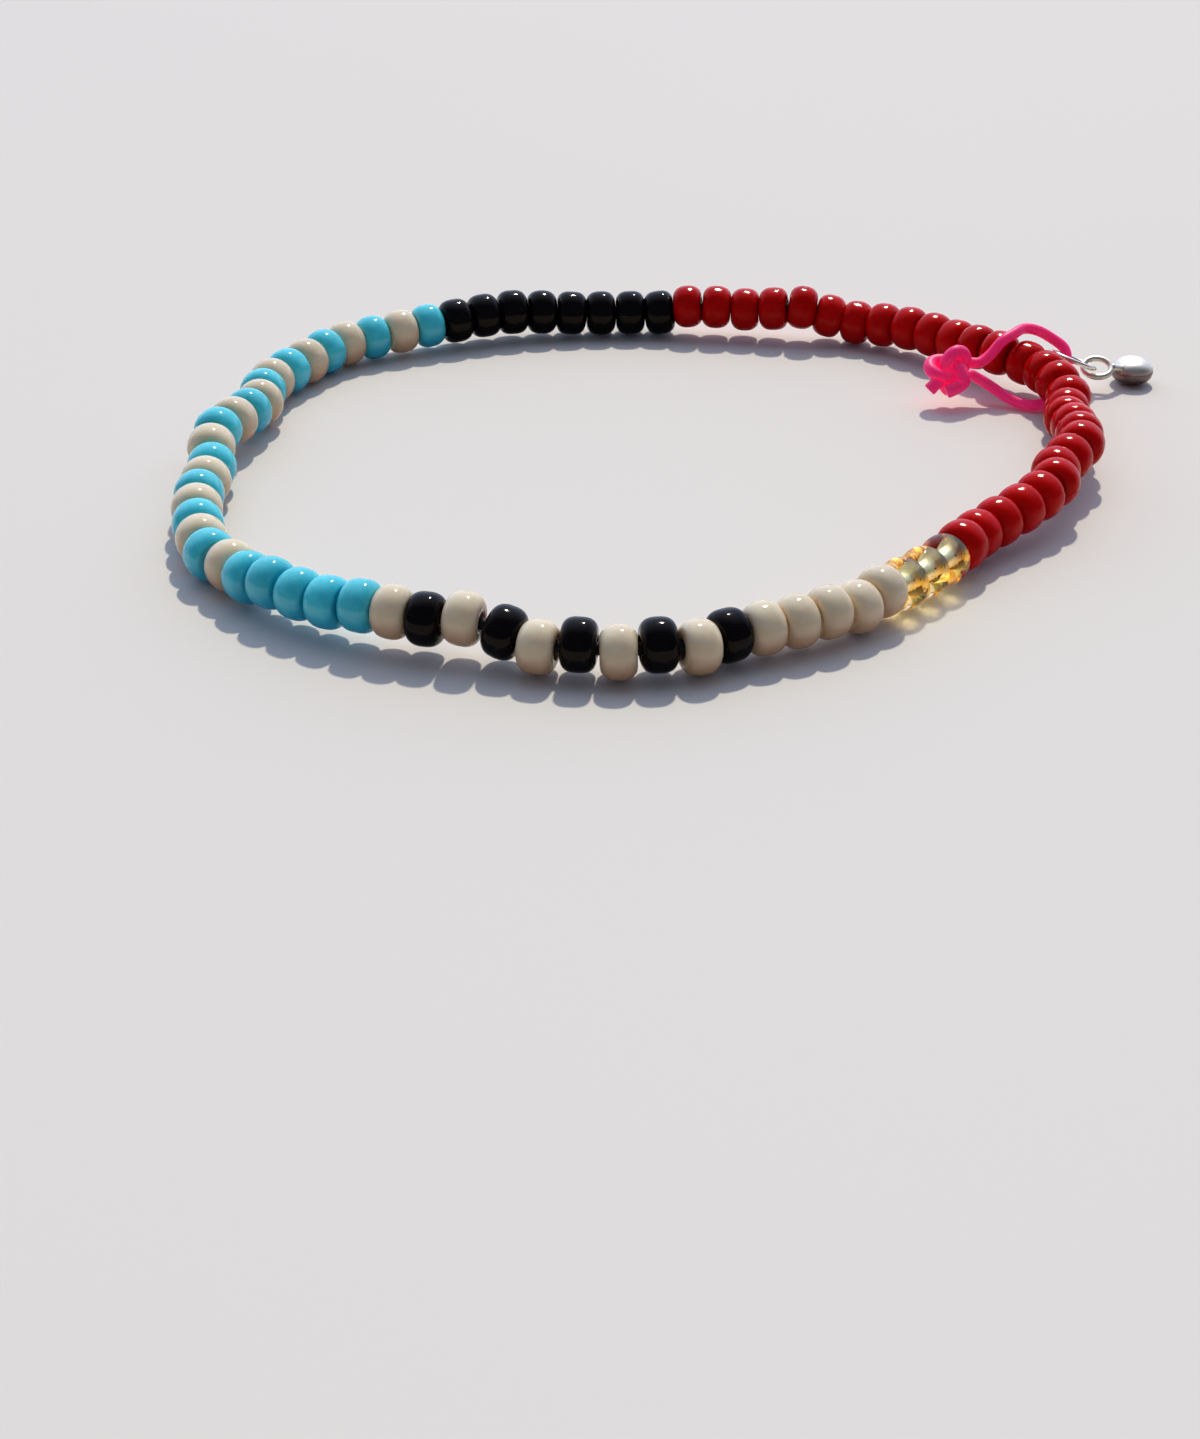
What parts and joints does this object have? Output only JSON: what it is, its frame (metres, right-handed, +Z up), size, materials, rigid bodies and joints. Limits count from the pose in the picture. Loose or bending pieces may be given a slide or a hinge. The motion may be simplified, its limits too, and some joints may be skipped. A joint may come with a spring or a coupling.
{
  "type": "beaded bracelet",
  "caption": "Elastic bracelet of small glass seed beads in colour runs, lying as a loop, with a tied elastic loop, a jump ring and a puffed charm.",
  "frame": {"origin": "bottom centre of the whole bracelet's box, on the surface it lies on", "axes": "+Z up out of the surface, +X towards the charm, -Y towards the front run of cream and black beads"},
  "size_m": [0.0678, 0.0574, 0.0049],
  "materials": {
    "blue_glass": "opaque turquoise glass, fire polished",
    "cream_glass": "opaque cream glass, fire polished",
    "amber_glass": "clear amber glass with a metal-lined hole",
    "red_glass": "opaque red glass, fire polished",
    "black_glass": "opaque black glass, fire polished",
    "black_elastic": "round black stretch cord",
    "pink_elastic": "smooth pink stretch cord",
    "silver": "soft polished silver"
  },
  "bodies": {
    "root": {"blue_beads": "blue_glass", "cream_black_beads_left": "cream_glass", "cream_black_beads_middle": "cream_glass", "cream_black_beads_right": "cream_glass", "cream_beads": "cream_glass", "amber_beads": "amber_glass", "red_beads_side": "red_glass", "red_beads_back": "red_glass", "black_beads": "black_glass", "blue_cream_beads_back": "blue_glass", "blue_cream_beads_side": "blue_glass", "elastic_thread": "black_elastic", "tie_loop": "pink_elastic", "jump_ring": "silver", "charm": "silver"}
  },
  "joints": []
}
